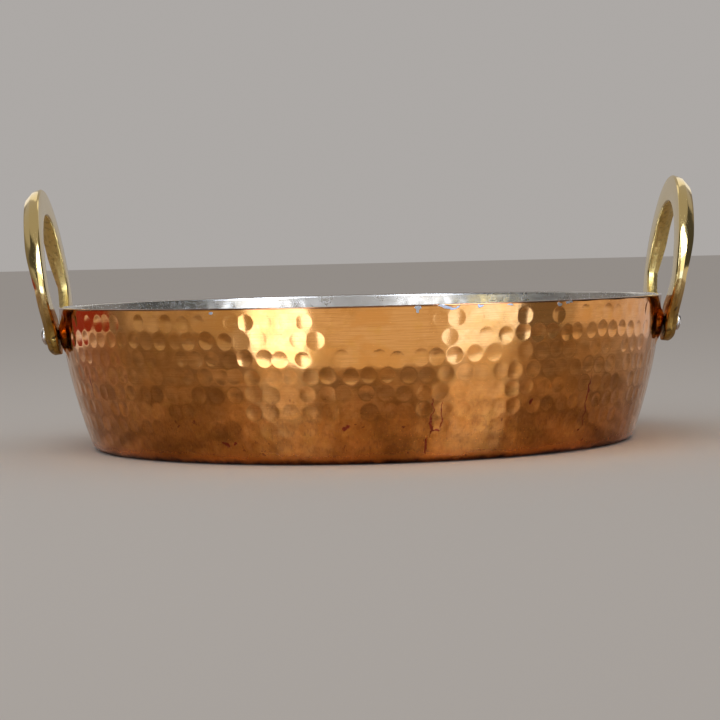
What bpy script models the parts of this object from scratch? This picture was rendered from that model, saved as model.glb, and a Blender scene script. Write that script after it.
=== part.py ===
"""Round copper pan, tinned inside, with two riveted brass loop handles.

Metres, +Z up. The origin is the centre of the flat base, and the handles stand on the X axis.
Touching pieces keep a small clearance, GAP, so that every piece stays a solid of its own.
"""

import math

import bmesh
import bpy
from mathutils import Matrix, Vector

MM = 0.001
GAP = 0.3 * MM

# The copper body, turned about Z. Its wall is one arc that flares towards the rim.
# EDGE_CUT is how far in a rounded edge passes its corner, as a share of its radius.
RIM_RADIUS = 140.0 * MM
HEIGHT = 66.0 * MM
COPPER = 1.5 * MM
TIN = 0.4 * MM
WALL_ARC = 228.0 * MM
RIM_LEAN = math.radians(4.3)
CORNER = 4.5 * MM
RIM_ROUND = 0.6 * MM
EDGE_CUT = 0.3
TURN_STEPS = 84
WALL_POINTS = 7
CORNER_POINTS = 2

# A handle is one flat casting: an open ring on two round feet, leaning out a little with the wall.
# Its chamfers take up at most the shares MOST_EDGE and MOST_FACE of the bar's width.
RING_RADIUS = 43.5 * MM
RING_CENTRE = 5.3 * MM
RING_START = math.radians(8.0)
RING_POINTS = 13
HANDLE_LEAN = math.radians(7.6)
HANDLE_INSIDE = 139.3 * MM
FOOT_SPREAD = 28.4 * MM
FOOT_RADIUS = 9.2 * MM
RIVET_DEPTH = 11.7 * MM
NECK_TURN = math.radians(30.0)
NECK_PULL = 9.0 * MM
CROWN_WIDTH, SIDE_WIDTH, NECK_WIDTH = 12.4 * MM, 14.0 * MM, 13.0 * MM
GRIP_THICK, FOOT_THICK = 7.4 * MM, 5.4 * MM
EDGE_CHAMFER = 0.8 * MM
FACE_CHAMFER = 3.2 * MM
FACE_CHAMFER_SHARE = 0.42
MOST_EDGE, MOST_FACE = 0.2, 0.3
FOOT_SECTIONS = 5
FOOT_TIP = math.radians(14.0)
NECK_SECTIONS = 8

# A rivet stands square to its foot: outside head, shank, and an inside head hammered flat on the wall.
SHANK_RADIUS = 2.5 * MM
HOLE_RADIUS = SHANK_RADIUS + GAP
HOLE_LENGTH = 30.0 * MM
OUTER_HEAD = (3.75 * MM, 2.2 * MM)
INNER_HEAD = (4.5 * MM, 1.1 * MM)
HEAD_ROUND = 0.7 * MM
INNER_SEAT = 0.4 * MM
RIVET_STEPS = 20

COPPER_COLOUR = (0.72, 0.31, 0.14, 1.0)
TIN_COLOUR = (0.66, 0.65, 0.62, 1.0)
BRASS_COLOUR = (0.71, 0.53, 0.22, 1.0)
ALUMINIUM_COLOUR = (0.78, 0.78, 0.77, 1.0)

ARC_CENTRE = Vector((RIM_RADIUS - WALL_ARC * math.cos(RIM_LEAN), HEIGHT + WALL_ARC * math.sin(RIM_LEAN)))
BASE_LEAN = math.asin((ARC_CENTRE.y - CORNER) / (WALL_ARC - CORNER))
CORNER_CENTRE_X = ARC_CENTRE.x + (WALL_ARC - CORNER) * math.cos(BASE_LEAN)


def clear_scene():
    for obj in list(bpy.data.objects):
        bpy.data.objects.remove(obj)


def new_collection(name):
    collection = bpy.data.collections.new(name)
    bpy.context.scene.collection.children.link(collection)
    return collection


def metal(name, colour, roughness):
    material = bpy.data.materials.new(name)
    material.use_nodes = True
    shader = material.node_tree.nodes["Principled BSDF"]
    shader.inputs["Base Color"].default_value = colour
    shader.inputs["Roughness"].default_value = roughness
    shader.inputs["Metallic"].default_value = 1.0
    return material


def add_object(name, mesh, collection, material=None):
    obj = bpy.data.objects.new(name, mesh)
    collection.objects.link(obj)
    if material:
        mesh.materials.append(material)
    return obj


def between(low, high, share):
    return low + (high - low) * share


def smooth_share(value, low, high):
    """0 below low, 1 above high, and an eased step between them."""
    share = min(1.0, max(0.0, (value - low) / (high - low)))
    return share * share * (3 - 2 * share)


# The wall's shape


def wall_point(depth, lean):
    """(radius, height) where the wall leans this much, at a depth inside its outer surface."""
    reach = WALL_ARC - depth
    return (ARC_CENTRE.x + reach * math.cos(lean), ARC_CENTRE.y - reach * math.sin(lean))


def lean_at(height, depth=0.0):
    return math.asin((ARC_CENTRE.y - height) / (WALL_ARC - depth))


def wall_outline(depth, top):
    """(radius, height) from the height top down the wall and round the corner to the flat base."""
    first = lean_at(top, depth)
    points = [wall_point(depth, between(first, BASE_LEAN, i / WALL_POINTS)) for i in range(WALL_POINTS + 1)]
    for i in range(1, CORNER_POINTS + 1):
        lean = between(BASE_LEAN, math.pi / 2, i / CORNER_POINTS)
        reach = CORNER - depth
        points.append((CORNER_CENTRE_X + reach * math.cos(lean), CORNER - reach * math.sin(lean)))
    return points


def turned(name, profile, steps, collection, material):
    """A profile of (radius, height) points turned about Z, which ends by running down its outer side."""
    mesh = bpy.data.meshes.new(name)
    edges = [(i, i + 1) for i in range(len(profile) - 1)]
    mesh.from_pydata([(radius, 0.0, height) for radius, height in profile], edges, [])
    obj = add_object(name, mesh, collection, material)
    screw = obj.modifiers.new("Turn", "SCREW")
    screw.steps = screw.render_steps = steps
    screw.use_merge_vertices = True
    screw.merge_threshold = 0.01 * MM
    screw.use_smooth_shade = True
    return obj


def copper_profile():
    inner = wall_outline(COPPER, HEIGHT)[::-1]
    outer = wall_outline(0.0, HEIGHT - RIM_ROUND)
    rim_edge = (RIM_RADIUS - RIM_ROUND, HEIGHT)
    rim_shoulder = (RIM_RADIUS - EDGE_CUT * RIM_ROUND, HEIGHT - EDGE_CUT * RIM_ROUND)
    return [(0.0, COPPER), *inner, rim_edge, rim_shoulder, *outer, (0.0, 0.0)]


def tin_profile():
    outer_depth = COPPER + GAP
    inner_depth = outer_depth + TIN
    inner = wall_outline(inner_depth, HEIGHT)[::-1]
    outer = wall_outline(outer_depth, HEIGHT)
    return [(0.0, inner_depth), *inner, *outer, (0.0, outer_depth)]


# Places: a foot's rivet hole in the wall and in the handle


def frame_of(along, upward, outward, place):
    return Matrix.Translation(place) @ Matrix((along, upward, outward)).transposed().to_4x4()


def wall_frame(end):
    """A frame on the wall at a rivet of the +X handle: Y runs up the wall and Z straight out of it."""
    height = HEIGHT - RIVET_DEPTH
    lean = lean_at(height)
    radius = wall_point(0.0, lean)[0]
    turn = math.asin(FOOT_SPREAD / radius) * end
    outward = Vector((math.cos(lean) * math.cos(turn), math.cos(lean) * math.sin(turn), -math.sin(lean)))
    upward = Vector((math.sin(lean) * math.cos(turn), math.sin(lean) * math.sin(turn), math.cos(lean)))
    place = Vector((radius * math.cos(turn), radius * math.sin(turn), height))
    return frame_of(upward.cross(outward), upward, outward, place)


def foot_frame(end):
    """A frame on the inner face of the +X handle, over the rivet hole: Z runs straight out of the face."""
    outward = Vector((math.cos(HANDLE_LEAN), 0.0, -math.sin(HANDLE_LEAN)))
    upward = Vector((math.sin(HANDLE_LEAN), 0.0, math.cos(HANDLE_LEAN)))
    wall_place = wall_frame(end).translation
    off_wall = (Vector((HANDLE_INSIDE, 0.0, HEIGHT)) - wall_place).dot(outward)
    return frame_of(upward.cross(outward), upward, outward, wall_place + off_wall * outward)


def on_side(side, frame):
    return frame if side > 0 else Matrix.Rotation(math.pi, 4, "Z") @ frame


def hole_cutter(name, side, end, collection):
    mesh = bpy.data.meshes.new(name)
    shape = bmesh.new()
    bmesh.ops.create_cone(
        shape,
        cap_ends=True,
        segments=RIVET_STEPS,
        radius1=HOLE_RADIUS,
        radius2=HOLE_RADIUS,
        depth=HOLE_LENGTH,
    )
    shape.to_mesh(mesh)
    shape.free()
    cutter = add_object(name, mesh, collection)
    cutter.matrix_world = on_side(side, foot_frame(end))
    cutter.hide_render = True
    cutter.display_type = "WIRE"
    return cutter


def drill(obj, cutters):
    for cutter in cutters:
        hole = obj.modifiers.new("Hole", "BOOLEAN")
        hole.operation = "DIFFERENCE"
        hole.solver = "EXACT"
        hole.object = cutter


# The handles


def foot_centre():
    """(across, up) of the rivet hole at a foot, up being counted from the rim."""
    place = foot_frame(1).translation
    return Vector((place.y, place.z - HEIGHT))


def ring_point(angle):
    return Vector((RING_RADIUS * math.cos(angle), RING_CENTRE + RING_RADIUS * math.sin(angle)))


def neck_point(share):
    """A point of the Bezier curve that leads from the rivet hole into the ring."""
    start, stop = foot_centre(), ring_point(RING_START)
    leaving = start + NECK_PULL * Vector((math.sin(NECK_TURN), math.cos(NECK_TURN)))
    arriving = stop - NECK_PULL * Vector((-math.sin(RING_START), math.cos(RING_START)))
    rest = 1 - share
    early = rest**3 * start + 3 * rest**2 * share * leaving
    late = 3 * rest * share**2 * arriving + share**3 * stop
    return early + late


def half_stations():
    """(centre, width, thickness) of each section along one half, from the foot's tip to the crown."""
    rivet = foot_centre()
    stations = []
    for i in range(FOOT_SECTIONS):
        angle = between(FOOT_TIP, math.pi / 2, i / (FOOT_SECTIONS - 1))
        centre = rivet - Vector((0.0, FOOT_RADIUS * math.cos(angle)))
        stations.append((centre, 2 * FOOT_RADIUS * math.sin(angle), FOOT_THICK))
    for i in range(1, NECK_SECTIONS):
        centre = neck_point(i / NECK_SECTIONS)
        narrowed = smooth_share(centre.y, rivet.y, rivet.y + FOOT_RADIUS)
        stations.append((centre, between(2 * FOOT_RADIUS, NECK_WIDTH, narrowed), FOOT_THICK))
    for i in range(RING_POINTS):
        centre = ring_point(between(RING_START, math.pi / 2, i / (RING_POINTS - 1)))
        raised = smooth_share(centre.y, RING_CENTRE, RING_CENTRE + RING_RADIUS)
        grown = smooth_share(centre.y, RING_CENTRE, RING_CENTRE + RING_RADIUS / 2)
        width = between(SIDE_WIDTH, CROWN_WIDTH, raised)
        stations.append((centre, width, between(FOOT_THICK, GRIP_THICK, grown)))
    return stations


def section(width, thick):
    """(across, out) round the bar: flat towards the pan, with wide chamfers on its outer face."""
    half = width / 2
    edge = min(EDGE_CHAMFER, MOST_EDGE * width)
    face = min(FACE_CHAMFER, MOST_FACE * width)
    shoulder = thick * (1 - FACE_CHAMFER_SHARE)
    right = [(half - edge, 0.0), (half, edge), (half, shoulder), (half - face, thick)]
    return right + [(-across, out) for across, out in reversed(right)]


def handle(name, side, collection, material, cutters):
    """The bar is a loft between its round feet and its chamfered grip."""
    half = half_stations()
    stations = half + [(Vector((-c.x, c.y)), width, thick) for c, width, thick in reversed(half[:-1])]
    frame = foot_frame(1)
    along, outward = frame.col[1].to_3d(), frame.col[2].to_3d()
    places = [Vector((HANDLE_INSIDE, c.x, HEIGHT)) + along * c.y / along.z for c, _, _ in stations]
    turn = on_side(side, Matrix.Identity(4))
    shape = bmesh.new()
    rings = []
    for i, (_, width, thick) in enumerate(stations):
        ahead = places[min(i + 1, len(places) - 1)] - places[max(i - 1, 0)]
        across = outward.cross(ahead).normalized()
        corners = [turn @ (places[i] + across * a + outward * out) for a, out in section(width, thick)]
        rings.append([shape.verts.new(corner) for corner in corners])
    for first, second in zip(rings, rings[1:]):
        for i in range(len(first)):
            j = (i + 1) % len(first)
            shape.faces.new((first[i], first[j], second[j], second[i]))
    shape.faces.new(reversed(rings[0]))
    shape.faces.new(rings[-1])
    bmesh.ops.recalc_face_normals(shape, faces=shape.faces)
    mesh = bpy.data.meshes.new(name)
    shape.to_mesh(mesh)
    shape.free()
    mesh.shade_smooth()
    mesh.set_sharp_from_angle(angle=math.radians(30))
    obj = add_object(name, mesh, collection, material)
    drill(obj, cutters)
    return obj


# The rivets


def domed(radius, height, seat):
    """(radius, height) from the middle of a head's rounded face down to the seat at its rim."""
    face = seat + height
    return [
        (0.0, face),
        (radius - HEAD_ROUND, face),
        (radius - EDGE_CUT * HEAD_ROUND, face - EDGE_CUT * HEAD_ROUND),
        (radius, face - HEAD_ROUND),
        (radius, seat),
    ]


def rivet(name, side, end, collection, tools, material):
    """Outside head and shank in one turned piece, joined to the inside head, which lies along the wall."""
    wall, foot = wall_frame(end), foot_frame(end)
    outer_seat = FOOT_THICK + GAP
    off_wall = (foot.translation - wall.translation).length
    inner_seat = COPPER + GAP + TIN + INNER_SEAT
    shank_end = -(off_wall + inner_seat + INNER_HEAD[1] / 2)
    stem_profile = [
        *domed(*OUTER_HEAD, outer_seat),
        (SHANK_RADIUS, outer_seat),
        (SHANK_RADIUS, shank_end),
        (0.0, shank_end),
    ]
    stem = turned(name, stem_profile, RIVET_STEPS, collection, material)
    stem.matrix_world = on_side(side, foot)
    head_profile = [*domed(*INNER_HEAD, inner_seat), (0.0, inner_seat)]
    head = turned(f"{name}_head", head_profile, RIVET_STEPS, tools, material)
    head.matrix_world = on_side(side, wall @ Matrix.Rotation(math.pi, 4, "X"))
    head.hide_render = True
    head.display_type = "WIRE"
    join = stem.modifiers.new("Join", "BOOLEAN")
    join.operation = "UNION"
    join.solver = "EXACT"
    join.object = head
    return stem


def build():
    clear_scene()
    pan = new_collection("copper_pan")
    tools = new_collection("cutters")
    copper = metal("copper", COPPER_COLOUR, 0.22)
    tin = metal("tin", TIN_COLOUR, 0.35)
    brass = metal("brass", BRASS_COLOUR, 0.2)
    aluminium = metal("aluminium", ALUMINIUM_COLOUR, 0.3)

    sides = (("left", -1), ("right", 1))
    cutters = {}
    for side_name, side in sides:
        cutters[side] = [hole_cutter(f"{side_name}_hole_{end}", side, end, tools) for end in (-1, 1)]
    every_cutter = cutters[-1] + cutters[1]

    body = turned("copper_body", copper_profile(), TURN_STEPS, pan, copper)
    lining = turned("tin_lining", tin_profile(), TURN_STEPS, pan, tin)
    drill(body, every_cutter)
    drill(lining, every_cutter)

    for side_name, side in sides:
        handle(f"{side_name}_handle", side, pan, brass, cutters[side])
        for end in (-1, 1):
            # The foot at local end -1 of the left handle is turned to the back by the half turn about Z.
            where = "front" if end * side < 0 else "back"
            rivet(f"{side_name}_{where}_rivet", side, end, pan, tools, aluminium)


build()
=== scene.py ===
"""Looks of the hammered copper pan: hammered copper, wiped tin lining, cast brass handles and rivets.

Metres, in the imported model's frame: the pan stands on z = 0 and its handles are on the X axis.
A profile is followed by its arc length, counted down the outside from the rim.
"""

import math
import random

import bpy
import numpy as np
from mathutils import Matrix, Vector


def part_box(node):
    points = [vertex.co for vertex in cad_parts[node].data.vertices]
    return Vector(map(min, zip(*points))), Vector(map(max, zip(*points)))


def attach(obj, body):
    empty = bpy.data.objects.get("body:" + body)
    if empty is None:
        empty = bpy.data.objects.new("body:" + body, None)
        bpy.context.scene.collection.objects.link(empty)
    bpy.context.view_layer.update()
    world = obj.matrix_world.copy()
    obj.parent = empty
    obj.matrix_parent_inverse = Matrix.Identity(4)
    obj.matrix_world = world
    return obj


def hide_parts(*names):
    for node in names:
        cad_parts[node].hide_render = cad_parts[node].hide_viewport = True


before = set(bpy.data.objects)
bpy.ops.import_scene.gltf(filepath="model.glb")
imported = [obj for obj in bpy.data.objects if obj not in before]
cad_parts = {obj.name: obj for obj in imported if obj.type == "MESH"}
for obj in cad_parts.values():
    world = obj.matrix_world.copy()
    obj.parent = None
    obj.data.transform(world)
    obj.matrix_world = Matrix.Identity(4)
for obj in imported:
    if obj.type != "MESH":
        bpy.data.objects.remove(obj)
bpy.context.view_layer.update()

MM = 0.001

# The pan, as the CAD has it.
BODY_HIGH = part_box("copper_body")[1]
HEIGHT = BODY_HIGH.z
RIM_RADIUS = BODY_HIGH.x
WALL_ARC = 228.0 * MM
RIM_LEAN = math.radians(4.3)
CORNER = 4.5 * MM
COPPER = 1.5 * MM
TIN_INSIDE = 2.2 * MM
ARC_X = RIM_RADIUS - WALL_ARC * math.cos(RIM_LEAN)
ARC_Z = HEIGHT + WALL_ARC * math.sin(RIM_LEAN)
BASE_LEAN = math.asin((ARC_Z - CORNER) / (WALL_ARC - CORNER))
CORNER_X = ARC_X + (WALL_ARC - CORNER) * math.cos(BASE_LEAN)
WALL_LENGTH = WALL_ARC * (BASE_LEAN - RIM_LEAN)
CORNER_LENGTH = CORNER * (math.pi / 2 - BASE_LEAN)

# Hammer marks: shallow round dents in nearly level rows.
DENT_ROWS = 8
FIRST_ROW = 5.8 * MM
ROW_PITCH = 7.65 * MM
DENT_PITCH = 8.0 * MM
DENT_RADIUS = 3.65 * MM
DENT_DEPTH = 0.185 * MM
DENT_JITTER = 0.65 * MM
MISSING_DENTS = 0.06
WAVE_HEIGHT = 0.035 * MM
WAVES = 14

# How far from a rivet the sheet is drawn out to the foot, and the gap that stays.
PULL_REACH = 13.0 * MM
PULL_FULL = 3 * MM
PULL_GAP = 0.15 * MM

# Mesh density.
AROUND = 1600
WALL_ROWS = 112
TIN_AROUND = 960
TIN_WALL_ROWS = 78

# Handles, as the CAD has them.
RING_RADIUS = 43.5 * MM
RING_CENTRE = 5.3 * MM
RING_START = math.radians(8.0)
HANDLE_LEAN = math.radians(7.6)
HANDLE_INSIDE = 139.3 * MM
FOOT_SPREAD = 28.4 * MM
FOOT_RADIUS = 9.2 * MM
RIVET_DEPTH = 11.7 * MM
NECK_TURN = math.radians(30.0)
NECK_PULL = 9.0 * MM
CROWN_WIDTH, SIDE_WIDTH, NECK_WIDTH = 12.4 * MM, 14.0 * MM, 13.0 * MM
GRIP_THICK, FOOT_THICK = 7.4 * MM, 5.4 * MM
FOOT_STATIONS, NECK_STATIONS, RING_STATIONS = 11, 13, 31
SECTION_HALF = 5

# Rivets, with heads a little larger than in the CAD and shanks a little thinner.
HEAD_RADIUS, HEAD_HEIGHT, SHANK_RADIUS = 3.95 * MM, 2.6 * MM, 2.4 * MM
INSIDE_HEAD_RADIUS, INSIDE_HEAD_HEIGHT = 4.5 * MM, 1.4 * MM
RIVET_STEPS = 48

# Stains and tin drips on the wall: bearing from the front in degrees to the right, height, half width and
# half height. Those on the side that the photo shows follow it, and those on the hidden side are invented.
STAINS = (
    (45.5, 22 * MM, 0.42 * MM, 12 * MM),
    (45.0, 10 * MM, 0.7 * MM, 0.7 * MM),
    (-63.2, 33 * MM, 0.6 * MM, 5.0 * MM),
    (31.3, 23.7 * MM, 1.3 * MM, 1.4 * MM),
    (11.6, 19 * MM, 0.40 * MM, 8.0 * MM),
    (13.3, 20 * MM, 0.38 * MM, 5.5 * MM),
    (12.2, 14 * MM, 2.0 * MM, 0.5 * MM),
    (10.8, 8 * MM, 0.5 * MM, 4.0 * MM),
    (-4.0, 16 * MM, 1.6 * MM, 1.2 * MM),
    (-27.5, 8.5 * MM, 1.8 * MM, 0.9 * MM),
    (-25.6, 9.2 * MM, 1.1 * MM, 0.6 * MM),
    (118.0, 30 * MM, 0.4 * MM, 9 * MM),
    (171.0, 18 * MM, 1.6 * MM, 1.3 * MM),
    (-140.0, 26 * MM, 0.5 * MM, 7 * MM),
)
DRIPS = (
    (8.9, HEIGHT - 1.3 * MM, 1.5 * MM, 1.2 * MM),
    (8.9, HEIGHT - 2.6 * MM, 0.6 * MM, 1.4 * MM),
    (14.1, HEIGHT - 1.1 * MM, 4.6 * MM, 0.55 * MM),
    (19.7, HEIGHT - 1.1 * MM, 1.3 * MM, 0.8 * MM),
    (25.4, HEIGHT - 1.0 * MM, 1.5 * MM, 0.7 * MM),
    (35.6, HEIGHT - 1.5 * MM, 1.4 * MM, 1.3 * MM),
    (38.0, HEIGHT - 1.1 * MM, 2.0 * MM, 0.8 * MM),
    (-27.0, HEIGHT - 0.9 * MM, 0.8 * MM, 0.5 * MM),
    (105.0, HEIGHT - 1.1 * MM, 2.0 * MM, 1.3 * MM),
    (152.0, HEIGHT - 1.0 * MM, 4.0 * MM, 0.9 * MM),
    (-121.0, HEIGHT - 1.4 * MM, 1.2 * MM, 1.8 * MM),
)

# Stage: the table that shows in the metal, with its near corners rounded, and its two greys.
# Its sizes were worked out from its mirror image in the photo, and the far edge is a guess.
# A near corner is (where the front edge ends, widest point, how far back that is, exponent of the curve).
TABLE_FRONT, TABLE_BACK = -0.226, 0.600
TABLE_RIGHT = (0.250, 0.464, 0.234, 1.6)
TABLE_LEFT = (-0.300, -0.466, 0.097, 1.33)
TABLE_BACK_RIGHT, TABLE_BACK_LEFT = 0.464, -0.420
TABLE_STEPS = 8
TABLE_LIFT = 0.2 * MM
TABLE_DARK = (0.23, 0.175, 0.14, 1)
TABLE_LIGHT = (0.57, 0.465, 0.38, 1)

# Windows: bearings of their edges in degrees to the right of the front, and the tints of their light.
LEFT_WINDOW, RIGHT_WINDOW = (-41, -20), (32, 57)
DAYLIGHT = (0.86, 0.96, 1.15, 1)
ROOM_LIGHT = (1.0, 0.97, 0.93, 1)

# The camera.
CAMERA_DISTANCE = 1.040
CAMERA_OVER_RIM = 19.8 * MM
CAMERA_SIDE = math.radians(0.9)
CAMERA_ASIDE = -0.7 * MM
CAMERA_PITCH = math.radians(2.646)
CAMERA_ROLL = math.radians(1.327)
CAMERA_LENS = 111.05


def smooth_step(value, low, high):
    share = np.clip((value - low) / (high - low), 0.0, 1.0)
    return share * share * (3 - 2 * share)


def between(low, high, share):
    return low + (high - low) * share


# Profile of the wall


def outside_at(length):
    """(radius, height, lean) of the outside at arc lengths down from the rim, as arrays."""
    length = np.asarray(length, float)
    down = np.clip(length - WALL_LENGTH, 0.0, CORNER_LENGTH)
    flat = np.maximum(length - WALL_LENGTH - CORNER_LENGTH, 0.0)
    wall_lean = RIM_LEAN + np.minimum(length, WALL_LENGTH) / WALL_ARC
    turn = BASE_LEAN + down / CORNER
    on_wall = length <= WALL_LENGTH
    lean = np.where(on_wall, wall_lean, turn)
    radius = np.where(on_wall, ARC_X + WALL_ARC * np.cos(lean), CORNER_X + CORNER * np.cos(lean) - flat)
    height = np.where(on_wall, ARC_Z - WALL_ARC * np.sin(lean), CORNER - CORNER * np.sin(lean))
    return radius, height, lean


# Hammer marks


def dents():
    """(angle, arc length, radius, depth) of every hammer mark."""
    draw = random.Random(7)
    marks = []
    for row in range(DENT_ROWS):
        level = FIRST_ROW + row * ROW_PITCH
        radius = float(outside_at(level)[0])
        count = round(2 * math.pi * radius / DENT_PITCH)
        start = draw.random()
        faded = 1.0 - 0.5 * smooth_step(row, DENT_ROWS - 3, DENT_ROWS - 1)
        for k in range(count):
            angle = (k + start) / count * 2 * math.pi + draw.gauss(0, DENT_JITTER) / radius
            length = level + draw.gauss(0, 0.5 * DENT_JITTER)
            size = DENT_RADIUS * draw.uniform(0.9, 1.08)
            depth = DENT_DEPTH * draw.uniform(0.6, 1.25) * float(faded)
            if draw.random() > MISSING_DENTS:
                marks.append((angle % (2 * math.pi), length, size, depth))
    return marks


def dent_field(angles, lengths, marks, spread, soft):
    """How far each point of the (length, angle) grid is pushed in. spread widens the marks for the inside."""
    depth = np.zeros((len(lengths), len(angles)))
    step = 2 * math.pi / len(angles)
    radii = outside_at(lengths)[0]
    for angle, length, size, deep in marks:
        size = size * spread
        rows = np.nonzero(np.abs(lengths - length) < size)[0]
        if not len(rows):
            continue
        radius = radii[rows[len(rows) // 2]]
        reach = int(size / radius / step) + 2
        middle = int(angle / step)
        columns = np.arange(middle - reach, middle + reach + 1)
        away = ((columns * step - angle + math.pi) % (2 * math.pi) - math.pi) * radius
        far = np.hypot(away[None, :], (lengths[rows] - length)[:, None]) / size
        cap = np.clip(1 - far**2, 0.0, 1.0)
        if soft:
            cap = cap**2
        place = np.ix_(rows, columns % len(angles))
        depth[place] = np.maximum(depth[place], cap * deep)
    return depth


def waves(angles, lengths):
    """The slow unevenness that planishing leaves, in metres."""
    draw = random.Random(11)
    total = np.zeros((len(lengths), len(angles)))
    for _ in range(WAVES):
        turns = draw.randint(9, 46)
        rise = draw.uniform(-1, 1) * 2 * math.pi / (24 * MM)
        phase = draw.uniform(0, 2 * math.pi)
        total += np.sin(turns * angles[None, :] + rise * lengths[:, None] + phase)
    return total * WAVE_HEIGHT / math.sqrt(WAVES)


# Meshes


def grid_faces(rows, columns, wrap_columns, wrap_rows):
    """Quads between neighbouring points of a grid, with the row direction turned so that faces look out."""
    row = np.arange(rows if wrap_rows else rows - 1)
    column = np.arange(columns if wrap_columns else columns - 1)
    r, c = np.meshgrid(row, column, indexing="ij")
    r2, c2 = (r + 1) % rows, (c + 1) % columns
    quads = np.stack([r * columns + c, r2 * columns + c, r2 * columns + c2, r * columns + c2], axis=-1)
    return quads.reshape(-1, 4).tolist()


def add_mesh(name, points, faces, materials):
    mesh = bpy.data.meshes.new(name)
    mesh.from_pydata([tuple(p) for p in points], [], faces)
    for material in materials:
        mesh.materials.append(material)
    mesh.shade_smooth()
    obj = bpy.data.objects.new(name, mesh)
    bpy.context.scene.collection.objects.link(obj)
    return obj


def shown(obj, slot, *nodes):
    """A piece that rides on the pan and stands for these CAD nodes."""
    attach(obj, "root")
    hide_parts(*nodes)


def pushed_rings(lengths, angles, push, depth=0.0):
    """Points (row, column, xyz) of the outside, moved in by push and depth along the wall's normal."""
    radius, height, lean = outside_at(lengths)
    move = push + depth
    out = radius[:, None] - move * np.cos(lean)[:, None]
    up = height[:, None] + move * np.sin(lean)[:, None]
    return np.stack([out * np.cos(angles), out * np.sin(angles), up + 0 * angles], axis=-1)


def ring_normals(points):
    """Normals of a grid whose columns run round the pan."""
    along = np.roll(points, -1, axis=1) - np.roll(points, 1, axis=1)
    down = np.gradient(points, axis=0)
    normal = np.cross(down, along)
    return normal / np.linalg.norm(normal, axis=-1, keepdims=True)


def pull(points, lengths):
    """How far the rivets draw the sheet out to the flat feet, for each point of the smooth outside."""
    total = np.zeros(points.shape[:2])
    for side in (-1, 1):
        for end in (-1, 1):
            place, wall, _, _ = foot_frame(end)
            place, wall = on_side(side, place), on_side(side, Matrix.Translation(wall)).translation
            outward = np.array(place.col[2].to_3d())
            gap = (np.array(place.translation) - points) @ outward
            near = smooth_step(np.linalg.norm(points - np.array(wall), axis=-1), PULL_REACH, PULL_FULL)
            total = np.maximum(total, near * np.maximum(gap - PULL_GAP, 0.0))
    return total * smooth_step(lengths, 3 * MM, 10.5 * MM)[:, None]


def copper_wall(marks, material):
    """The hammered wall in two halves, front and back, that meet under the handles."""
    angles = np.arange(AROUND) * 2 * math.pi / AROUND
    lengths = np.concatenate(
        [
            np.linspace(0.5 * MM, WALL_LENGTH, WALL_ROWS),
            WALL_LENGTH + np.linspace(0, CORNER_LENGTH, 9)[1:],
        ]
    )
    push = dent_field(angles, lengths, marks, 1.0, False)
    dent = push / DENT_DEPTH
    push += waves(angles, lengths)
    push *= smooth_step(WALL_LENGTH + 0.3 * CORNER_LENGTH - lengths, 0.0, 4 * MM)[:, None]
    push *= smooth_step(lengths, 0.0, 1.2 * MM)[:, None]
    push -= pull(pushed_rings(lengths, angles, np.zeros_like(push)), lengths)
    outside = pushed_rings(lengths, angles, push)
    still = np.zeros((1, AROUND))
    rim = [
        pushed_rings(np.array([0.15 * MM]), angles, still, 0.08 * MM),
        pushed_rings(np.array([0.02 * MM]), angles, still, 0.32 * MM),
        pushed_rings(np.array([0.02 * MM]), angles, still, COPPER - 0.1 * MM),
    ]
    inner_lengths = np.concatenate(
        [np.linspace(0.3 * MM, WALL_LENGTH, 6), WALL_LENGTH + np.linspace(0, CORNER_LENGTH, 6)[1:]]
    )
    inside = pushed_rings(inner_lengths, angles, np.zeros((len(inner_lengths), AROUND)), COPPER)
    shell = np.concatenate([inside[::-1], rim[2], rim[1], rim[0], outside])
    normals = ring_normals(shell)
    dent = np.concatenate([np.zeros((len(shell) - len(dent), AROUND)), dent])
    half = AROUND // 2
    for name, first in (("back", 0), ("front", half)):
        columns = np.arange(first, first + half + 1) % AROUND
        points = shell[:, columns].reshape(-1, 3)
        faces = grid_faces(len(shell), half + 1, False, True)
        ends = [list(range(0, len(points), half + 1)), list(range(half, len(points), half + 1))]
        wall = add_mesh(f"copper_wall_{name}", points, faces + [ends[0][::-1], ends[1]], [material])
        wall.data.normals_split_custom_set_from_vertices(normals[:, columns].reshape(-1, 3))
        share = wall.data.attributes.new("dent", "FLOAT", "POINT")
        share.data.foreach_set("value", dent[:, columns].astype(np.float32).ravel())
        shown(wall, "copper", "copper_body")


def turned(name, profile, steps, materials):
    """A profile of (radius, height) points turned about Z from the top down, with both ends closed flat."""
    angles = np.arange(steps) * 2 * math.pi / steps
    rings = [
        np.stack([r * np.cos(angles), r * np.sin(angles), np.full(steps, z)], axis=-1) for r, z in profile
    ]
    faces = grid_faces(len(rings), steps, True, False)
    last = (len(rings) - 1) * steps
    caps = [list(range(steps)), [last + i for i in range(steps)][::-1]]
    return add_mesh(name, np.concatenate(rings), faces + caps, materials)


def copper_base(material):
    """The flat bottom, which the wall's corner runs into."""
    edge = CORNER_X
    profile = [(20 * MM, COPPER), (edge, COPPER), (edge, 0.0), (20 * MM, 0.0)]
    base = turned("copper_base", profile, 320, [material])
    base.data.set_sharp_from_angle(angle=math.radians(40))
    shown(base, "copper", "copper_body")


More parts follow.
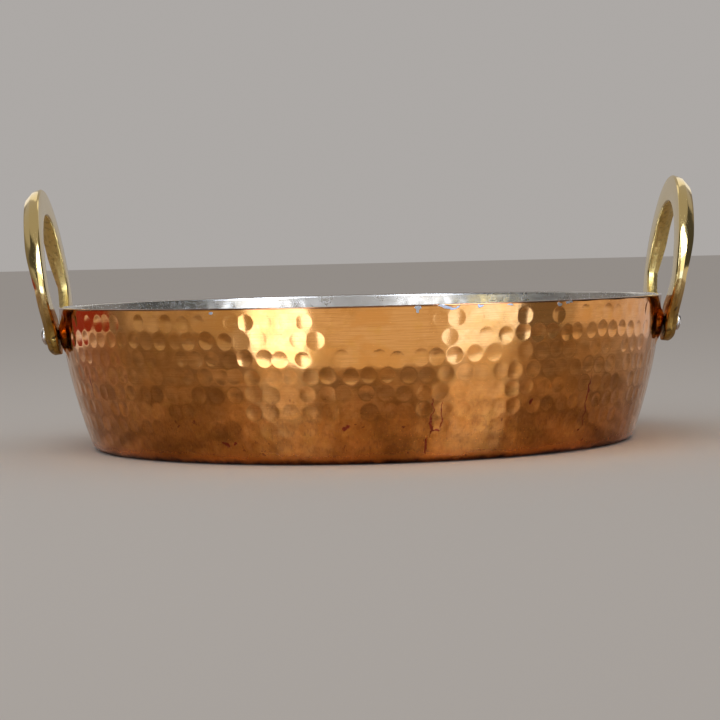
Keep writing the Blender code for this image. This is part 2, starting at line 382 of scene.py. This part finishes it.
def tin_lining(marks, material):
    """The tinned inside, with the hammer marks showing through softly, and its lip over the rim."""
    angles = np.arange(TIN_AROUND) * 2 * math.pi / TIN_AROUND
    corner = np.linspace(0, CORNER_LENGTH, 8)[1:]
    floor = np.linspace(6 * MM, CORNER_X - 14 * MM, 16)
    lengths = np.concatenate(
        [
            np.linspace(0.6 * MM, WALL_LENGTH, TIN_WALL_ROWS),
            WALL_LENGTH + corner,
            WALL_LENGTH + CORNER_LENGTH + floor,
        ]
    )
    bumps = 0.75 * dent_field(angles, lengths, marks, 1.25, True) + waves(angles, lengths)
    bumps *= smooth_step(WALL_LENGTH - lengths, -2 * MM, 6 * MM)[:, None]
    bumps *= smooth_step(lengths, 0.6 * MM, 2.5 * MM)[:, None]
    inside = pushed_rings(lengths, angles, bumps, TIN_INSIDE)
    still = np.zeros((1, TIN_AROUND))

    def ring(radius, height):
        points = [radius * np.cos(angles), radius * np.sin(angles), height + 0 * angles]
        return np.stack(points, axis=-1)[None]

    lip = [
        ring(RIM_RADIUS - TIN_INSIDE + 0.25 * MM, HEIGHT - 0.06 * MM),
        ring(RIM_RADIUS - TIN_INSIDE + 0.6 * MM, HEIGHT),
        ring(RIM_RADIUS - 0.75 * MM, HEIGHT),
        ring(RIM_RADIUS - 0.42 * MM, HEIGHT - 0.08 * MM),
        ring(RIM_RADIUS - 0.3 * MM, HEIGHT - 0.22 * MM),
        ring(RIM_RADIUS - 0.45 * MM, HEIGHT - 0.34 * MM),
        pushed_rings(np.array([0.3 * MM]), angles, still, COPPER + 0.1 * MM),
    ]
    back_lengths = np.concatenate([np.linspace(3 * MM, WALL_LENGTH, 6), WALL_LENGTH + corner[1::2]])
    back_lengths = np.append(back_lengths, WALL_LENGTH + CORNER_LENGTH + floor[-1])
    back = pushed_rings(back_lengths, angles, np.zeros((len(back_lengths), TIN_AROUND)), COPPER + 0.2 * MM)
    rings = np.concatenate([inside[::-1], *lip, back])
    faces = grid_faces(len(rings), TIN_AROUND, True, False)
    last = (len(rings) - 1) * TIN_AROUND
    caps = [list(range(TIN_AROUND)), [last + i for i in range(TIN_AROUND)][::-1]]
    lining = add_mesh("tin_skin", rings.reshape(-1, 3), faces + caps, [material])
    shown(lining, "tin", "tin_lining")


# Handles


def foot_frame(end):
    """Frame on the +X handle's inner face over a rivet: Y up the face, Z out of it."""
    lean = math.asin((ARC_Z - (HEIGHT - RIVET_DEPTH)) / WALL_ARC)
    radius = ARC_X + WALL_ARC * math.cos(lean)
    turn = math.asin(FOOT_SPREAD / radius) * end
    wall = Vector((radius * math.cos(turn), radius * math.sin(turn), HEIGHT - RIVET_DEPTH))
    outward = Vector((math.cos(HANDLE_LEAN), 0.0, -math.sin(HANDLE_LEAN)))
    upward = Vector((math.sin(HANDLE_LEAN), 0.0, math.cos(HANDLE_LEAN)))
    off_wall = (Vector((HANDLE_INSIDE, 0.0, HEIGHT)) - wall).dot(outward)
    rotation = Matrix((upward.cross(outward), upward, outward)).transposed().to_4x4()
    return Matrix.Translation(wall + off_wall * outward) @ rotation, wall, turn, lean


def on_side(side, matrix):
    return matrix if side > 0 else Matrix.Rotation(math.pi, 4, "Z") @ matrix


def ring_point(angle):
    return Vector((RING_RADIUS * math.cos(angle), RING_CENTRE + RING_RADIUS * math.sin(angle)))


def half_stations():
    """(centre, width, thickness) of the bar's sections from a foot's tip to the crown."""
    place = foot_frame(1)[0].translation
    rivet = Vector((place.y, place.z - HEIGHT))
    stations = []
    for i in range(FOOT_STATIONS):
        angle = between(math.radians(9), math.pi / 2, i / (FOOT_STATIONS - 1))
        centre = rivet - Vector((0.0, FOOT_RADIUS * math.cos(angle)))
        tapered = FOOT_THICK * between(0.45, 1.0, float(smooth_step(angle, 0.0, 1.0)) ** 0.6)
        stations.append((centre, 2 * FOOT_RADIUS * math.sin(angle), tapered))
    start, stop = rivet, ring_point(RING_START)
    leaving = start + NECK_PULL * Vector((math.sin(NECK_TURN), math.cos(NECK_TURN)))
    arriving = stop - NECK_PULL * Vector((-math.sin(RING_START), math.cos(RING_START)))
    for i in range(1, NECK_STATIONS + 1):
        t = i / (NECK_STATIONS + 1)
        rest = 1 - t
        centre = rest**3 * start + 3 * rest**2 * t * leaving + 3 * rest * t**2 * arriving + t**3 * stop
        narrowed = float(smooth_step(centre.y, rivet.y, rivet.y + FOOT_RADIUS))
        stations.append((centre, between(2 * FOOT_RADIUS, NECK_WIDTH, narrowed), FOOT_THICK))
    for i in range(RING_STATIONS):
        centre = ring_point(between(RING_START, math.pi / 2, i / (RING_STATIONS - 1)))
        raised = float(smooth_step(centre.y, RING_CENTRE, RING_CENTRE + RING_RADIUS))
        grown = float(smooth_step(centre.y, RING_CENTRE, RING_CENTRE + RING_RADIUS / 2))
        width = between(SIDE_WIDTH, CROWN_WIDTH, raised)
        width = between(NECK_WIDTH, width, float(smooth_step(i, -1, 7)))
        stations.append((centre, width, between(FOOT_THICK, GRIP_THICK, grown)))
    return stations


def bar_section(width, thick):
    """(across, out) round the bar. The sides draw in a little, as a casting's do, and more near the bevel."""
    half = width / 2
    edge = min(0.7 * MM, 0.2 * width)
    face = min(3.2 * MM, 0.3 * width)
    shoulder = thick * 0.58
    middle = (edge + shoulder) / 2
    slight, strong = 0.13 * (middle - edge), 0.26 * (shoulder - middle)
    left = [
        (half - edge, 0.0),
        (half, edge),
        (half - slight, middle),
        (half - slight - strong, shoulder),
        (half - face, thick),
    ]
    return left + [(-across, out) for across, out in reversed(left)]


def handle(name, side, materials):
    """A cast loop from foot to foot, made of sections across its bar."""
    half = half_stations()
    stations = half + [(Vector((-c.x, c.y)), w, t) for c, w, t in reversed(half[:-1])]
    rotation = foot_frame(1)[0]
    along, outward = rotation.col[1].to_3d(), rotation.col[2].to_3d()
    places = [Vector((HANDLE_INSIDE, c.x, HEIGHT)) + along * c.y / along.z for c, _, _ in stations]
    turn = on_side(side, Matrix.Identity(4))
    corners = []
    for i, (_, width, thick) in enumerate(stations):
        ahead = places[min(i + 1, len(places) - 1)] - places[max(i - 1, 0)]
        across = outward.cross(ahead).normalized()
        corners += [turn @ (places[i] + across * a + outward * out) for a, out in bar_section(width, thick)]
    sides = 2 * SECTION_HALF
    faces = [quad[::-1] for quad in grid_faces(len(stations), sides, True, False)]
    last = (len(stations) - 1) * sides
    faces += [list(range(sides))[::-1], [last + i for i in range(sides)]]
    obj = add_mesh(name, corners, faces, materials)
    # The side that faces into the loop is left as cast.
    for r in range(FOOT_STATIONS, len(stations) - 1 - FOOT_STATIONS):
        for c in range(1, SECTION_HALF - 1):
            obj.data.polygons[r * sides + c].material_index = 1
    rounded = obj.modifiers.new("Rounded edges", "BEVEL")
    rounded.width = 0.45 * MM
    rounded.segments = 3
    rounded.limit_method = "ANGLE"
    rounded.angle_limit = math.radians(20)
    rounded.harden_normals = False
    shown(obj, "brass", name.replace("_cast", "_handle"))


# Rivets


def rivet(name, side, end, material):
    """Hammered outside head with its shank, and the flatter head inside the pan."""
    place, wall, turn, lean = foot_frame(end)
    seat = FOOT_THICK + 0.05 * MM
    dome = [
        (HEAD_RADIUS * math.cos(a), seat + 0.35 * HEAD_HEIGHT + 0.65 * HEAD_HEIGHT * math.sin(a))
        for a in np.linspace(0, 1.45, 10)
    ]
    off_wall = (place.translation - wall).length
    shank = [(SHANK_RADIUS, -off_wall - 2.4 * MM), (SHANK_RADIUS, seat)]
    profile = shank + [(HEAD_RADIUS * 0.97, seat), *dome]
    head = turned(f"{name}_head", profile[::-1], RIVET_STEPS, [material])
    head.data.transform(on_side(side, place))
    shown(head, "aluminium", name)

    outward = Vector((math.cos(lean) * math.cos(turn), math.cos(lean) * math.sin(turn), -math.sin(lean)))
    upward = Vector((math.sin(lean) * math.cos(turn), math.sin(lean) * math.sin(turn), math.cos(lean)))
    inward = Matrix((upward.cross(outward), -upward, -outward)).transposed().to_4x4()
    depth = TIN_INSIDE - 0.05 * MM
    flat = [
        (INSIDE_HEAD_RADIUS * math.cos(a), depth + INSIDE_HEAD_HEIGHT * math.sin(a))
        for a in np.linspace(0, 1.4, 8)
    ]
    profile = flat[::-1] + [(INSIDE_HEAD_RADIUS * 0.9, depth - 0.3 * MM)]
    button = turned(f"{name}_inside_head", profile, RIVET_STEPS, [material])
    button.data.transform(on_side(side, Matrix.Translation(wall) @ inward))
    shown(button, "aluminium", name)


# Materials


def wire(tree, kind, inputs=None, **settings):
    """Adds a node. An input is a socket to link, or a value to set."""
    made = tree.nodes.new(kind)
    for name, value in settings.items():
        setattr(made, name, value)
    for name, value in (inputs or {}).items():
        socket = made.inputs[name]
        if isinstance(value, bpy.types.NodeSocket):
            tree.links.new(value, socket)
        else:
            socket.default_value = value
    return made


def maths(tree, operation, *values):
    made = tree.nodes.new("ShaderNodeMath")
    made.operation = operation
    for socket, value in zip(made.inputs, values):
        if isinstance(value, bpy.types.NodeSocket):
            tree.links.new(value, socket)
        else:
            socket.default_value = value
    return made.outputs[0]


def step(tree, value, low, high, to_low=0.0, to_high=1.0):
    """An eased step of value from low to high."""
    inputs = {"Value": value, "From Min": low, "From Max": high, "To Min": to_low, "To Max": to_high}
    return wire(tree, "ShaderNodeMapRange", inputs, interpolation_type="SMOOTHSTEP").outputs[0]


def noise(tree, place, scale, detail=3.0, roughness=0.55, distortion=0.0):
    inputs = {"Vector": place, "Scale": scale, "Detail": detail}
    inputs.update({"Roughness": roughness, "Distortion": distortion})
    return wire(tree, "ShaderNodeTexNoise", inputs).outputs["Fac"]


def blend_colours(tree, share, first, second):
    inputs = {"Factor": share, "A": first, "B": second}
    made = wire(tree, "ShaderNodeMix", None, data_type="RGBA")
    sockets = {"Factor": made.inputs[0], "A": made.inputs[6], "B": made.inputs[7]}
    for name, value in inputs.items():
        if isinstance(value, bpy.types.NodeSocket):
            tree.links.new(value, sockets[name])
        else:
            sockets[name].default_value = value
    return made.outputs[2]


def bump(tree, height, distance, before=None):
    inputs = {"Height": height, "Distance": distance, "Strength": 1.0}
    if before is not None:
        inputs["Normal"] = before
    return wire(tree, "ShaderNodeBump", inputs).outputs[0]


def stretched(tree, place, x, y, z):
    return wire(tree, "ShaderNodeMapping", {"Vector": place, "Scale": (x, y, z)}).outputs[0]


def new_metal(name):
    material = bpy.data.materials.new(name)
    material.use_nodes = True
    shader = material.node_tree.nodes["Principled BSDF"]
    shader.inputs["Metallic"].default_value = 1.0
    place = wire(material.node_tree, "ShaderNodeTexCoord").outputs["Object"]
    return material, material.node_tree, shader, place


def toward(bearing):
    """(x, y) of a bearing counted from the front, in degrees to the right, as a unit vector."""
    return math.sin(math.radians(bearing)), -math.cos(math.radians(bearing))


def patch(tree, split, wobble, bearing, height, wide, tall, soft=0.35):
    """Mask of an upright blot on the wall at a bearing and height. wide and tall are half sizes in metres."""
    toward_x, toward_y = toward(bearing)
    x_toward = maths(tree, "MULTIPLY", split[0], toward_x)
    y_toward = maths(tree, "MULTIPLY", split[1], toward_y)
    front = maths(tree, "ADD", x_toward, y_toward)
    y_across = maths(tree, "MULTIPLY", split[1], toward_x)
    x_across = maths(tree, "MULTIPLY", split[0], toward_y)
    aside = maths(tree, "ADD", maths(tree, "SUBTRACT", y_across, x_across), wobble[0])
    aside = maths(tree, "DIVIDE", aside, wide)
    above = maths(tree, "ADD", maths(tree, "SUBTRACT", split[2], height), wobble[1])
    above = maths(tree, "DIVIDE", above, tall)
    far = maths(tree, "ADD", maths(tree, "MULTIPLY", aside, aside), maths(tree, "MULTIPLY", above, above))
    near = step(tree, far, 1.0 + soft, 1.0 - soft)
    return maths(tree, "MULTIPLY", near, maths(tree, "GREATER_THAN", front, 0.0))


def any_of(tree, masks):
    total = masks[0]
    for mask in masks[1:]:
        total = maths(tree, "MAXIMUM", total, mask)
    return total


def copper_material():
    material, tree, shader, place = new_metal("hammered_copper")
    split = wire(tree, "ShaderNodeSeparateXYZ", {"Vector": place}).outputs
    height = split[2]
    slow = noise(tree, place, 30.0, 4.0)
    patchy = noise(tree, place, 130.0, 5.0, 0.65)
    blotched = noise(tree, place, 75.0, 6.0, 0.7, 0.8)
    fine = noise(tree, place, 900.0, 3.0)
    brushed = noise(tree, stretched(tree, place, 60.0, 60.0, 4600.0), 1.0, 3.0, 0.65)
    upright = noise(tree, stretched(tree, place, 1500.0, 1500.0, 90.0), 1.0, 2.0, 0.6)
    low_down = step(tree, height, 0.040, 0.006)
    dent = wire(tree, "ShaderNodeAttribute", None, attribute_name="dent").outputs["Fac"]

    # Thin brown tarnish, thicker low down and left between the hammer marks.
    tarnish = maths(tree, "ADD", maths(tree, "MULTIPLY", slow, 0.5), maths(tree, "MULTIPLY", blotched, 0.5))
    tarnish = maths(tree, "ADD", tarnish, maths(tree, "MULTIPLY", low_down, 0.13))
    tarnish = maths(tree, "SUBTRACT", tarnish, maths(tree, "MULTIPLY", dent, 0.05))
    dulled = step(tree, tarnish, 0.43, 0.68)
    colour = blend_colours(tree, dulled, (0.93, 0.44, 0.125, 1), (0.68, 0.27, 0.040, 1))
    golden = maths(tree, "ADD", patchy, maths(tree, "MULTIPLY", low_down, 0.10))
    golden = step(tree, golden, 0.52, 0.72, 0.0, 0.6)
    colour = blend_colours(tree, golden, colour, (0.88, 0.42, 0.075, 1))
    lined = step(tree, brushed, 0.42, 0.70, 0.0, 0.75)
    colour = blend_colours(tree, lined, colour, (0.70, 0.28, 0.05, 1))
    clouded = noise(tree, stretched(tree, place, 40.0, 40.0, 75.0), 1.0, 4.0, 0.6)
    clouded = step(tree, clouded, 0.46, 0.60, 0.0, 0.8)
    colour = blend_colours(tree, clouded, colour, (0.84, 0.345, 0.065, 1))
    scuffed = step(tree, height, 0.036, 0.012, 0.0, 0.5)
    scuffed = maths(tree, "MULTIPLY", step(tree, upright, 0.50, 0.68), scuffed)
    colour = blend_colours(tree, scuffed, colour, (0.42, 0.17, 0.05, 1))

    # Fine brown mottling low down.
    mottled = step(tree, noise(tree, place, 420.0, 4.0, 0.7), 0.46, 0.62, 0.0, 0.38)
    mottled = maths(tree, "MULTIPLY", mottled, step(tree, height, 0.052, 0.018))
    colour = blend_colours(tree, mottled, colour, (0.50, 0.17, 0.025, 1))

    # A red-brown band at the base, partly scorching and partly painted shade, a near-black band under it that
    # is painted contact shadow, dark freckles, and the red-brown stains.
    ground = maths(tree, "ADD", height, maths(tree, "MULTIPLY", patchy, -0.006))
    # Red-brown band low on the wall: partly scorched copper, partly painted shade towards the table.
    scorched_and_shaded = step(tree, ground, 0.0040, -0.0028, 0.0, 0.9)
    colour = blend_colours(tree, scorched_and_shaded, colour, (0.62, 0.17, 0.02, 1))
    # Near-black band at the very bottom: painted contact shadow where the pan stands on the table.
    painted_contact_shadow = step(tree, ground, -0.0002, -0.0032, 0.0, 0.97)
    colour = blend_colours(tree, painted_contact_shadow, colour, (0.05, 0.012, 0.004, 1))
    freckled = step(tree, noise(tree, place, 380.0, 2.0, 0.7), 0.64, 0.70)
    where = maths(tree, "MULTIPLY", freckled, step(tree, blotched, 0.50, 0.60))
    where = maths(tree, "MULTIPLY", where, step(tree, height, 0.050, 0.014))
    colour = blend_colours(tree, maths(tree, "MULTIPLY", where, 0.8), colour, (0.25, 0.045, 0.02, 1))
    shake = wire(tree, "ShaderNodeTexNoise", {"Vector": place, "Scale": 260.0, "Detail": 3.0})
    shake = wire(tree, "ShaderNodeSeparateColor", {"Color": shake.outputs["Color"]}).outputs
    sizes = (5 * MM, 6 * MM)
    wobble = [maths(tree, "MULTIPLY", maths(tree, "SUBTRACT", shake[i], 0.5), sizes[i]) for i in (0, 1)]
    stains = any_of(tree, [patch(tree, split, wobble, *stain) for stain in STAINS])
    broken = step(tree, noise(tree, place, 1100.0, 3.0, 0.7), 0.26, 0.40, 0.45, 1.0)
    stains = maths(tree, "MULTIPLY", maths(tree, "MULTIPLY", stains, broken), 0.95)
    colour = blend_colours(tree, stains, colour, (0.30, 0.04, 0.015, 1))

    # A dark line under the rim, and drips of tin that ran over it.
    rim_line = step(tree, height, HEIGHT - 0.9 * MM, HEIGHT - 0.45 * MM, 0.0, 0.8)
    colour = blend_colours(tree, rim_line, colour, (0.24, 0.10, 0.05, 1))
    drips = any_of(tree, [patch(tree, split, wobble, *drip, 0.15) for drip in DRIPS])
    colour = blend_colours(tree, drips, colour, (0.52, 0.54, 0.57, 1))
    tree.links.new(colour, shader.inputs["Base Color"])

    gloss = step(tree, tarnish, 0.40, 0.80, 0.07, 0.24)
    gloss = maths(tree, "ADD", gloss, maths(tree, "MULTIPLY", fine, 0.03))
    crusted = any_of(tree, [stains, scorched_and_shaded, drips])
    gloss = maths(tree, "ADD", gloss, maths(tree, "MULTIPLY", crusted, 0.22))
    tree.links.new(gloss, shader.inputs["Roughness"])
    normal = bump(tree, brushed, 0.0045 * MM)
    normal = bump(tree, fine, 0.009 * MM, normal)
    normal = bump(tree, drips, 0.12 * MM, normal)
    tree.links.new(normal, shader.inputs["Normal"])
    # A thin clear film.
    shader.inputs["Coat Weight"].default_value = 0.5
    shader.inputs["Coat Roughness"].default_value = 0.10
    return material


def tin_material():
    material, tree, shader, place = new_metal("wiped_tin")
    slow = noise(tree, place, 22.0, 4.0, distortion=0.6)
    patchy = noise(tree, place, 90.0, 5.0, 0.6)
    grain = noise(tree, place, 1400.0, 2.0)
    wiped = noise(tree, stretched(tree, place, 60.0, 60.0, 1400.0), 1.0, 3.0, 0.65)
    cloudy = maths(tree, "ADD", maths(tree, "MULTIPLY", slow, 0.6), maths(tree, "MULTIPLY", patchy, 0.4))
    colour = blend_colours(tree, step(tree, cloudy, 0.38, 0.68), (0.74, 0.72, 0.68, 1), (0.56, 0.54, 0.50, 1))
    tree.links.new(colour, shader.inputs["Base Color"])
    gloss = step(tree, cloudy, 0.35, 0.7, 0.19, 0.31)
    gloss = maths(tree, "ADD", gloss, maths(tree, "MULTIPLY", grain, 0.05))
    tree.links.new(gloss, shader.inputs["Roughness"])
    normal = bump(tree, wiped, 0.006 * MM)
    normal = bump(tree, patchy, 0.05 * MM, normal)
    tree.links.new(normal, shader.inputs["Normal"])
    return material


def brass_material(name, rough_cast):
    material, tree, shader, place = new_metal(name)
    height = wire(tree, "ShaderNodeSeparateXYZ", {"Vector": place}).outputs["Z"]
    slow = noise(tree, place, 45.0, 3.0)
    fine = noise(tree, place, 1500.0, 3.0, 0.6)
    sandy = noise(tree, place, 520.0, 4.0, 0.6)
    scratched = noise(tree, stretched(tree, place, 300.0, 300.0, 3500.0), 1.0, 2.0)
    low = step(tree, height, 0.074, 0.050)
    bright = (0.88, 0.68, 0.25, 1) if rough_cast else (0.80, 0.61, 0.26, 1)
    dull = (0.56, 0.36, 0.085, 1) if rough_cast else (0.50, 0.33, 0.085, 1)
    grime = maths(tree, "ADD", maths(tree, "MULTIPLY", low, 0.55), maths(tree, "MULTIPLY", slow, 0.6))
    colour = blend_colours(tree, step(tree, grime, 0.30, 0.85), bright, dull)
    pits = step(tree, noise(tree, place, 330.0, 2.0), 0.60, 0.66)
    pits = maths(tree, "MULTIPLY", pits, step(tree, height, 0.070, 0.062))
    colour = blend_colours(tree, maths(tree, "MULTIPLY", pits, 0.85), colour, (0.05, 0.03, 0.015, 1))
    if rough_cast:
        hollows = step(tree, sandy, 0.50, 0.34, 0.0, 0.4)
        colour = blend_colours(tree, hollows, colour, (0.20, 0.10, 0.02, 1))
    tree.links.new(colour, shader.inputs["Base Color"])
    base_gloss = 0.28 if rough_cast else 0.07
    gloss = maths(tree, "ADD", maths(tree, "MULTIPLY", low, 0.12), maths(tree, "MULTIPLY", fine, 0.1))
    tree.links.new(maths(tree, "ADD", gloss, base_gloss), shader.inputs["Roughness"])
    normal = bump(tree, sandy, 0.42 * MM if rough_cast else 0.012 * MM)
    normal = bump(tree, scratched, 0.003 * MM, normal)
    tree.links.new(normal, shader.inputs["Normal"])
    return material


def rivet_material():
    material, tree, shader, place = new_metal("rivet_aluminium")
    fine = noise(tree, place, 1800.0, 2.0)
    facets = wire(tree, "ShaderNodeTexVoronoi", {"Vector": place, "Scale": 700.0}).outputs["Distance"]
    dirt = step(tree, noise(tree, place, 420.0, 3.0), 0.55, 0.75)
    dirt = maths(tree, "MULTIPLY", dirt, 0.6)
    colour = blend_colours(tree, dirt, (0.82, 0.82, 0.81, 1), (0.32, 0.30, 0.27, 1))
    tree.links.new(colour, shader.inputs["Base Color"])
    tree.links.new(maths(tree, "ADD", maths(tree, "MULTIPLY", fine, 0.12), 0.2), shader.inputs["Roughness"])
    tree.links.new(bump(tree, facets, 0.12 * MM), shader.inputs["Normal"])
    return material


# Stage


def plain(name, colour):
    material = bpy.data.materials.new(name)
    material.use_nodes = True
    shader = material.node_tree.nodes["Principled BSDF"]
    shader.inputs["Base Color"].default_value = colour
    shader.inputs["Roughness"].default_value = 1.0
    shader.inputs["Specular IOR Level"].default_value = 0.0
    return material


def glowing(name, colour, strength):
    material = bpy.data.materials.new(name)
    material.use_nodes = True
    tree = material.node_tree
    tree.nodes.clear()
    out = tree.nodes.new("ShaderNodeOutputMaterial")
    glow = wire(tree, "ShaderNodeEmission", {"Color": colour, "Strength": strength})
    tree.links.new(glow.outputs[0], out.inputs["Surface"])
    material.cycles.emission_sampling = "NONE"
    return material


def flat_card(name, corners, material):
    mesh = bpy.data.meshes.new(name)
    mesh.from_pydata(corners, [], [tuple(range(len(corners)))])
    mesh.materials.append(material)
    obj = bpy.data.objects.new(name, mesh)
    bpy.context.scene.collection.objects.link(obj)
    return obj


def only_reflected(obj):
    """The card shows in the metal and does nothing else."""
    obj.visible_camera = False
    obj.visible_diffuse = False
    obj.visible_shadow = False
    obj.visible_transmission = False
    obj.visible_volume_scatter = False


def reflector(name, azimuths, heights, distance, strength, colour=(1.0, 0.97, 0.92, 1)):
    """An upright card seen only in the metal. Azimuths are counted from the camera's side, to the right."""
    low, high = heights
    corners = []
    for azimuth, height in zip((*azimuths, *reversed(azimuths)), (low, low, high, high)):
        x, y = toward(azimuth)
        corners.append((distance * x, distance * y, height))
    only_reflected(flat_card(name, corners, glowing(name, colour, strength)))


def table_corner(front_end, widest, back, power):
    """Points of one rounded near corner, from the front edge to the widest point."""
    points = []
    for i in range(TABLE_STEPS + 1):
        turn = i / TABLE_STEPS * math.pi / 2
        aside, ahead = math.sin(turn) ** (2 / power), math.cos(turn) ** (2 / power)
        points.append((between(front_end, widest, aside), between(back, TABLE_FRONT, ahead)))
    return points


def table_outline():
    right, left = table_corner(*TABLE_RIGHT), table_corner(*TABLE_LEFT)
    far = [(TABLE_BACK_RIGHT, TABLE_BACK), (TABLE_BACK_LEFT, TABLE_BACK)]
    return right + far + left[::-1]


def table_material():
    """The grey table as the pan reflects it: mottled, and glossy enough to carry the windows' glow."""
    material = bpy.data.materials.new("table_grey")
    material.use_nodes = True
    tree = material.node_tree
    shader = tree.nodes["Principled BSDF"]
    place = wire(tree, "ShaderNodeTexCoord").outputs["Object"]
    mottled = noise(tree, place, 38.0, 4.0, 0.6)
    colour = blend_colours(tree, step(tree, mottled, 0.35, 0.65), TABLE_DARK, TABLE_LIGHT)
    tree.links.new(colour, shader.inputs["Base Color"])
    shader.inputs["Roughness"].default_value = 0.30
    shader.inputs["IOR"].default_value = 1.42
    return material


def stage():
    size = 30.0
    corners = [(-size, -size, 0), (size, -size, 0), (size, size, 0), (-size, size, 0)]
    floor = flat_card("floor", corners, plain("pale_floor", (0.70, 0.67, 0.64, 1)))
    floor.visible_glossy = False
    corners = [(x, y, TABLE_LIFT) for x, y in table_outline()]
    only_reflected(flat_card("reflected_table", corners, table_material()))
    reflector("left_window", LEFT_WINDOW, (0.55, 1.8), 1.4, 7.5, DAYLIGHT)
    reflector("left_window_middle", LEFT_WINDOW, (0.02, 0.55), 1.4, 1.6, ROOM_LIGHT)
    reflector("left_window_low", LEFT_WINDOW, (-1.1, 0.02), 1.4, 3.3, (0.74, 0.92, 1.36, 1))
    reflector("right_window", RIGHT_WINDOW, (0.55, 1.8), 1.4, 11.0, DAYLIGHT)
    reflector("right_window_middle", RIGHT_WINDOW, (0.02, 0.55), 1.4, 1.6, ROOM_LIGHT)
    reflector("right_window_low", RIGHT_WINDOW, (-1.1, 0.02), 1.4, 2.0, (0.70, 0.90, 1.40, 1))
    reflector("left_side_window", (-71, -64), (0.10, 0.9), 1.35, 5.0, DAYLIGHT)
    reflector("right_side_window", (84, 92), (0.20, 0.9), 1.35, 5.0, DAYLIGHT)
    reflector("back_left_window", (-162, -147), (0.30, 1.6), 1.4, 1.0)
    reflector("back_right_window", (146, 160), (0.30, 1.6), 1.4, 1.0)
    reflector("bright_room", (-21, 33), (-1.3, 0.02), 1.6, 0.66, (1.0, 0.95, 0.90, 1))
    reflector("dim_right_wall", (57, 76), (-1.1, 0.09), 1.55, 0.17, (1.0, 0.90, 0.82, 1))
    reflector("dim_left_back", (-146, -96), (-1.3, 0.6), 1.6, 0.22, (1.0, 0.90, 0.84, 1))
    reflector("dim_right_back", (92, 146), (-1.3, 0.6), 1.6, 0.24, (1.0, 0.90, 0.84, 1))
    reflector("dim_back_left", (-180, -146), (-1.3, 0.05), 1.6, 0.24, (1.0, 0.92, 0.87, 1))
    reflector("dim_back_right", (146, 180), (-1.3, 0.05), 1.6, 0.24, (1.0, 0.92, 0.87, 1))
    reflector("dim_left_room", (-96, -42), (0.16, 1.5), 1.5, 0.07)
    reflector("dim_right_room", (58, 120), (0.09, 1.5), 1.5, 0.07)
    reflector("left_neighbour", (-126, -94), (0.010, 0.060), 0.45, 0.24, (1.0, 0.17, 0.10, 1))
    reflector("left_neighbour_foot", (-126, -94), (-0.012, 0.010), 0.45, 0.66, (1.0, 0.93, 0.90, 1))
    reflector("right_neighbour", (73, 127), (-0.012, 0.050), 0.45, 0.62, (1.0, 0.93, 0.90, 1))
    reflector("right_neighbour_top", (73, 127), (0.050, 0.11), 0.45, 0.06)


def light(name, kind, place, aim, energy, **settings):
    data = bpy.data.lights.new(name, kind)
    data.energy = energy
    for key, value in settings.items():
        setattr(data, key, value)
    obj = bpy.data.objects.new(name, data)
    obj.location = place
    obj.rotation_euler = (Vector(aim) - Vector(place)).to_track_quat("-Z", "Y").to_euler()
    bpy.context.scene.collection.objects.link(obj)
    return obj


def lights():
    centre = (0.0, 0.0, 0.03)
    overhead = light("overhead", "AREA", (-0.3, -0.4, 1.3), centre, 2.6, shape="SQUARE", size=1.0)
    fill = light("left_fill", "AREA", (-1.3, -0.7, 0.7), centre, 1.2, shape="SQUARE", size=0.6)
    overhead.visible_glossy = fill.visible_glossy = False
    world = bpy.data.worlds.new("studio")
    world.use_nodes = True
    background = world.node_tree.nodes["Background"]
    background.inputs["Color"].default_value = (0.80, 0.76, 0.73, 1)
    background.inputs["Strength"].default_value = 0.52
    bpy.context.scene.world = world
    bpy.context.scene.view_settings.view_transform = "Standard"


def camera():
    data = bpy.data.cameras.new("camera")
    data.lens = CAMERA_LENS
    data.sensor_width = 36.0
    obj = bpy.data.objects.new("camera", data)
    level = Matrix.Rotation(math.pi / 2, 4, "X")
    tilt = Matrix.Rotation(-CAMERA_PITCH, 4, "X")
    roll = Matrix.Rotation(-CAMERA_ROLL, 4, "Z")
    place = Matrix.Translation((CAMERA_ASIDE, -CAMERA_DISTANCE, HEIGHT + CAMERA_OVER_RIM))
    swing = Matrix.Rotation(-CAMERA_SIDE, 4, "Z")
    obj.matrix_world = swing @ place @ level @ tilt @ roll
    bpy.context.scene.collection.objects.link(obj)
    bpy.context.scene.camera = obj


def build():
    marks = dents()
    copper = copper_material()
    copper_wall(marks, copper)
    copper_base(copper)
    tin_lining(marks, tin_material())
    brass = [brass_material("polished_brass", False), brass_material("cast_brass", True)]
    aluminium = rivet_material()
    for side_name, side in (("left", -1), ("right", 1)):
        handle(f"{side_name}_cast", side, brass)
        for end in (-1, 1):
            where = "front" if end * side < 0 else "back"
            rivet(f"{side_name}_{where}_rivet", side, end, aluminium)
    stage()
    lights()
    camera()


build()
